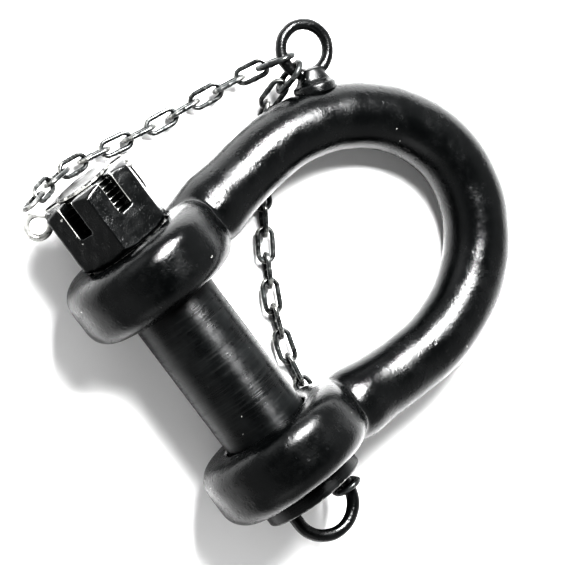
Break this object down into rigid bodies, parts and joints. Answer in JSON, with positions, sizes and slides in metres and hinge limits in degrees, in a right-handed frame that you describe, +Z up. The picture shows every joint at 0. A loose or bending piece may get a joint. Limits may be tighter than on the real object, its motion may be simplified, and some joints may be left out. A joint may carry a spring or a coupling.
{
  "type": "bow shackle",
  "caption": "Heavy black bow shackle lying on its side: bent bar with two eyes, headed pin with slotted nut and split pin, D-handle, and safety chains from a shoulder eyebolt.",
  "frame": {"origin": "middle of the object's outline on the floor it lies on, chains included", "axes": "+X along the pin towards its head, +Y towards the crown of the bow, +Z up; the shackle lies on its side"},
  "size_m": [0.2904, 0.2786, 0.108],
  "materials": {
    "forging_paint": "semi-gloss black over slightly rough forging",
    "eyebolt_paint": "semi-gloss black",
    "pin_steel": "semi-gloss black, smooth",
    "handle_bar": "semi-gloss black",
    "nut_steel": "semi-gloss black with worn edges",
    "split_pin_wire": "dark oiled steel",
    "chain_steel": "dark oiled steel"
  },
  "bodies": {
    "bow": {"bow": "forging_paint", "chain_eyebolt": "eyebolt_paint"},
    "pin": {"pin": "pin_steel", "pin_handle": "handle_bar"},
    "nut": {"nut": "nut_steel"},
    "split_pin": {"split_pin": "split_pin_wire"},
    "chain_a_joiner": {"chain_a_joiner": "chain_steel"},
    "chain_a_link_01": {"chain_a_link_01": "chain_steel"},
    "chain_a_link_02": {"chain_a_link_02": "chain_steel"},
    "chain_a_link_03": {"chain_a_link_03": "chain_steel"},
    "chain_a_link_04": {"chain_a_link_04": "chain_steel"},
    "chain_a_link_05": {"chain_a_link_05": "chain_steel"},
    "chain_a_link_06": {"chain_a_link_06": "chain_steel"},
    "chain_a_link_07": {"chain_a_link_07": "chain_steel"},
    "chain_a_link_08": {"chain_a_link_08": "chain_steel"},
    "chain_a_link_09": {"chain_a_link_09": "chain_steel"},
    "chain_a_link_10": {"chain_a_link_10": "chain_steel"},
    "chain_a_link_11": {"chain_a_link_11": "chain_steel"},
    "chain_a_link_12": {"chain_a_link_12": "chain_steel"},
    "chain_b_joiner": {"chain_b_joiner": "chain_steel"},
    "chain_b_link_01": {"chain_b_link_01": "chain_steel"},
    "chain_b_link_02": {"chain_b_link_02": "chain_steel"},
    "chain_b_link_03": {"chain_b_link_03": "chain_steel"},
    "chain_b_link_04": {"chain_b_link_04": "chain_steel"},
    "chain_b_link_05": {"chain_b_link_05": "chain_steel"},
    "chain_b_link_06": {"chain_b_link_06": "chain_steel"},
    "chain_b_link_07": {"chain_b_link_07": "chain_steel"},
    "chain_b_link_08": {"chain_b_link_08": "chain_steel"},
    "chain_b_link_09": {"chain_b_link_09": "chain_steel"},
    "chain_b_link_10": {"chain_b_link_10": "chain_steel"},
    "chain_b_link_11": {"chain_b_link_11": "chain_steel"},
    "chain_b_link_12": {"chain_b_link_12": "chain_steel"},
    "chain_b_link_13": {"chain_b_link_13": "chain_steel"},
    "chain_b_link_14": {"chain_b_link_14": "chain_steel"},
    "chain_b_link_15": {"chain_b_link_15": "chain_steel"},
    "chain_b_link_16": {"chain_b_link_16": "chain_steel"},
    "handle_joiner": {"handle_joiner": "chain_steel"},
    "handle_link": {"handle_link": "chain_steel"}
  },
  "joints": [
    {"name": "pin_turn", "type": "hinge", "parent": "bow", "child": "pin", "pos_m": [0.0102, -0.0853, 0.054], "axis": [1, 0, 0], "range_deg": [-20, 20]},
    {"name": "nut_turn", "type": "hinge", "parent": "pin", "child": "nut", "pos_m": [0.0102, -0.0853, 0.054], "axis": [1, 0, 0], "range_deg": [-1.2, 1.2]},
    {"name": "split_pin_slide", "type": "slide", "parent": "pin", "child": "split_pin", "axis": [0, -0.9588, -0.2841], "range_m": [0, 0.075]},
    {"name": "chain_a_joiner_sway", "type": "hinge", "parent": "bow", "child": "chain_a_joiner", "pos_m": [-0.10871, 0.06856, 0.02909], "axis": [0, 0, 1], "range_deg": [-8, 0]},
    {"name": "chain_a_sway_01", "type": "hinge", "parent": "chain_a_joiner", "child": "chain_a_link_01", "pos_m": [-0.1112, 0.05753, 0.01924], "axis": [0, 0, 1], "range_deg": [-12, 0]},
    {"name": "chain_a_sway_02", "type": "hinge", "parent": "chain_a_link_01", "child": "chain_a_link_02", "pos_m": [-0.11353, 0.04292, 0.01264], "axis": [0, 0, 1], "range_deg": [-12, 0]},
    {"name": "chain_a_sway_03", "type": "hinge", "parent": "chain_a_link_02", "child": "chain_a_link_03", "pos_m": [-0.11608, 0.02719, 0.00971], "axis": [0, 0, 1], "range_deg": [-12, 0]},
    {"name": "chain_a_sway_04", "type": "hinge", "parent": "chain_a_link_03", "child": "chain_a_link_04", "pos_m": [-0.11855, 0.01138, 0.00719], "axis": [0, 0, 1], "range_deg": [-12, 0]},
    {"name": "chain_a_sway_05", "type": "hinge", "parent": "chain_a_link_04", "child": "chain_a_link_05", "pos_m": [-0.12069, -0.00467, 0.0067], "axis": [0, 0, 1], "range_deg": [-12, 0]},
    {"name": "chain_a_sway_06", "type": "hinge", "parent": "chain_a_link_05", "child": "chain_a_link_06", "pos_m": [-0.12332, -0.02066, 0.00668], "axis": [0, 0, 1], "range_deg": [-12, 0]},
    {"name": "chain_a_sway_07", "type": "hinge", "parent": "chain_a_link_06", "child": "chain_a_link_07", "pos_m": [-0.1267, -0.0365, 0.00671], "axis": [0, 0, 1], "range_deg": [-12, 0]},
    {"name": "chain_a_sway_08", "type": "hinge", "parent": "chain_a_link_07", "child": "chain_a_link_08", "pos_m": [-0.13034, -0.05229, 0.00697], "axis": [0, 0, 1], "range_deg": [-12, 0]},
    {"name": "chain_a_sway_09", "type": "hinge", "parent": "chain_a_link_08", "child": "chain_a_link_09", "pos_m": [-0.13419, -0.06788, 0.00909], "axis": [0, 0, 1], "range_deg": [-12, 0]},
    {"name": "chain_a_sway_10", "type": "hinge", "parent": "chain_a_link_09", "child": "chain_a_link_10", "pos_m": [-0.13729, -0.08275, 0.01471], "axis": [0, 0, 1], "range_deg": [-12, 0]},
    {"name": "chain_a_sway_11", "type": "hinge", "parent": "chain_a_link_10", "child": "chain_a_link_11", "pos_m": [-0.13835, -0.09638, 0.02341], "axis": [0, 0, 1], "range_deg": [-12, 0]},
    {"name": "chain_a_sway_12", "type": "hinge", "parent": "chain_a_link_11", "child": "chain_a_link_12", "pos_m": [-0.13852, -0.10829, 0.03438], "axis": [0, 0, 1], "range_deg": [-12, 0]},
    {"name": "chain_b_joiner_sway", "type": "hinge", "parent": "bow", "child": "chain_b_joiner", "pos_m": [-0.09798, 0.06949, 0.02894], "axis": [0, 0, 1], "range_deg": [0, 1]},
    {"name": "chain_b_sway_01", "type": "hinge", "parent": "chain_b_joiner", "child": "chain_b_link_01", "pos_m": [-0.09452, 0.06017, 0.01771], "axis": [0, 0, 1], "range_deg": [0, 1.5]},
    {"name": "chain_b_sway_02", "type": "hinge", "parent": "chain_b_link_01", "child": "chain_b_link_02", "pos_m": [-0.08958, 0.0464, 0.01075], "axis": [0, 0, 1], "range_deg": [0, 2]},
    {"name": "chain_b_sway_03", "type": "hinge", "parent": "chain_b_link_02", "child": "chain_b_link_03", "pos_m": [-0.08066, 0.03322, 0.00769], "axis": [0, 0, 1], "range_deg": [0, 2]},
    {"name": "chain_b_sway_04", "type": "hinge", "parent": "chain_b_link_03", "child": "chain_b_link_04", "pos_m": [-0.06864, 0.0224, 0.00677], "axis": [0, 0, 1], "range_deg": [0, 3]},
    {"name": "chain_b_sway_05", "type": "hinge", "parent": "chain_b_link_04", "child": "chain_b_link_05", "pos_m": [-0.05464, 0.01426, 0.0067], "axis": [0, 0, 1], "range_deg": [0, 3]},
    {"name": "chain_b_sway_06", "type": "hinge", "parent": "chain_b_link_05", "child": "chain_b_link_06", "pos_m": [-0.04022, 0.00688, 0.0067], "axis": [0, 0, 1], "range_deg": [0, 3]},
    {"name": "chain_b_sway_07", "type": "hinge", "parent": "chain_b_link_06", "child": "chain_b_link_07", "pos_m": [-0.02675, -0.00213, 0.0067], "axis": [0, 0, 1], "range_deg": [0, 3]},
    {"name": "chain_b_sway_08", "type": "hinge", "parent": "chain_b_link_07", "child": "chain_b_link_08", "pos_m": [-0.01336, -0.01125, 0.0067], "axis": [0, 0, 1], "range_deg": [0, 3]},
    {"name": "chain_b_sway_09", "type": "hinge", "parent": "chain_b_link_08", "child": "chain_b_link_09", "pos_m": [0.00058, -0.01951, 0.0067], "axis": [0, 0, 1], "range_deg": [0, 3]},
    {"name": "chain_b_sway_10", "type": "hinge", "parent": "chain_b_link_09", "child": "chain_b_link_10", "pos_m": [0.01491, -0.02705, 0.0067], "axis": [0, 0, 1], "range_deg": [0, 3]},
    {"name": "chain_b_sway_11", "type": "hinge", "parent": "chain_b_link_10", "child": "chain_b_link_11", "pos_m": [0.02993, -0.03313, 0.0067], "axis": [0, 0, 1], "range_deg": [0, 2]},
    {"name": "chain_b_sway_12", "type": "hinge", "parent": "chain_b_link_11", "child": "chain_b_link_12", "pos_m": [0.04538, -0.03801, 0.0067], "axis": [0, 0, 1], "range_deg": [0, 2]},
    {"name": "chain_b_sway_13", "type": "hinge", "parent": "chain_b_link_12", "child": "chain_b_link_13", "pos_m": [0.06128, -0.04111, 0.0067], "axis": [0, 0, 1], "range_deg": [0, 1]},
    {"name": "chain_b_sway_14", "type": "hinge", "parent": "chain_b_link_13", "child": "chain_b_link_14", "pos_m": [0.07744, -0.04217, 0.0067], "axis": [0, 0, 1], "range_deg": [0, 1]},
    {"name": "chain_b_sway_15", "type": "hinge", "parent": "chain_b_link_14", "child": "chain_b_link_15", "pos_m": [0.0936, -0.04326, 0.0067], "axis": [0, 0, 1], "range_deg": [0, 1]},
    {"name": "chain_b_sway_16", "type": "hinge", "parent": "chain_b_link_15", "child": "chain_b_link_16", "pos_m": [0.10931, -0.04722, 0.0067], "axis": [0, 0, 1], "range_deg": [0, 1]},
    {"name": "handle_joiner_swing", "type": "hinge", "parent": "pin", "child": "handle_joiner", "pos_m": [0.1242, -0.06506, 0.05072], "axis": [1, 0, 0], "range_deg": [-25, 0]},
    {"name": "handle_link_swing", "type": "hinge", "parent": "handle_joiner", "child": "handle_link", "pos_m": [0.1242, -0.06506, 0.03552], "axis": [0, 1, 0], "range_deg": [-12, 12]}
  ]
}
